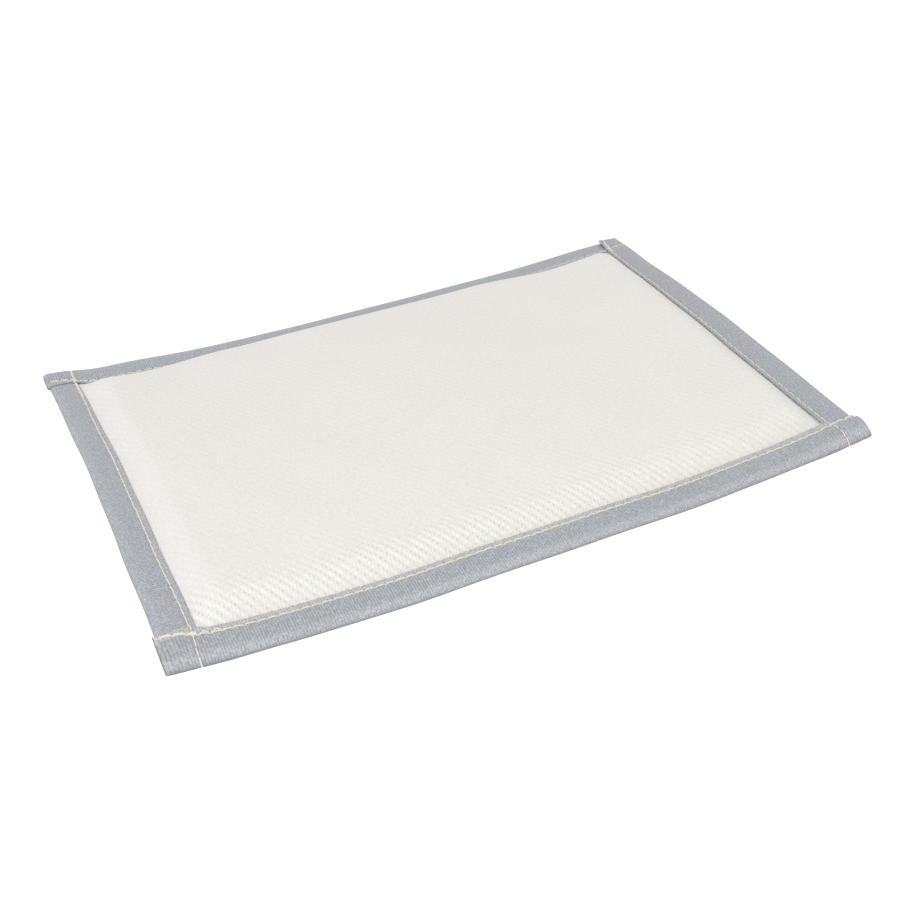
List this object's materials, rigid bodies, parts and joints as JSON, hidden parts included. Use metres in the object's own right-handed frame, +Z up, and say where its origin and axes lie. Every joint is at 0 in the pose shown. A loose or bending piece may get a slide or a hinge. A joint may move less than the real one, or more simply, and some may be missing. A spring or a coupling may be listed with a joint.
{
  "type": "padded fire-resistant battery mat",
  "caption": "Flat padded mat of white heat-resistant cloth over insulation felt, edged with grey folded binding tape; lithium packs are charged or stored on it.",
  "frame": {"origin": "under the middle of the mat, on the surface that it lies on", "axes": "+X along the long side, +Y across it towards the back edge, +Z up out of the padded face"},
  "size_m": [0.3024, 0.2022, 0.014],
  "materials": {
    "silica_cloth": "matte",
    "needled_felt": "matte",
    "binding_tape": "matte",
    "aramid_thread": "satin"
  },
  "bodies": {
    "root": {"top_cloth": "silica_cloth", "bottom_cloth": "silica_cloth", "felt_upper": "needled_felt", "felt_lower": "needled_felt", "binding_left": "binding_tape", "binding_right": "binding_tape", "binding_back": "binding_tape", "binding_front": "binding_tape", "needle_thread_front": "aramid_thread", "needle_thread_back": "aramid_thread", "needle_thread_left": "aramid_thread", "needle_thread_right": "aramid_thread", "bobbin_thread_front": "aramid_thread", "bobbin_thread_back": "aramid_thread", "bobbin_thread_left": "aramid_thread", "bobbin_thread_right": "aramid_thread"}
  },
  "joints": []
}
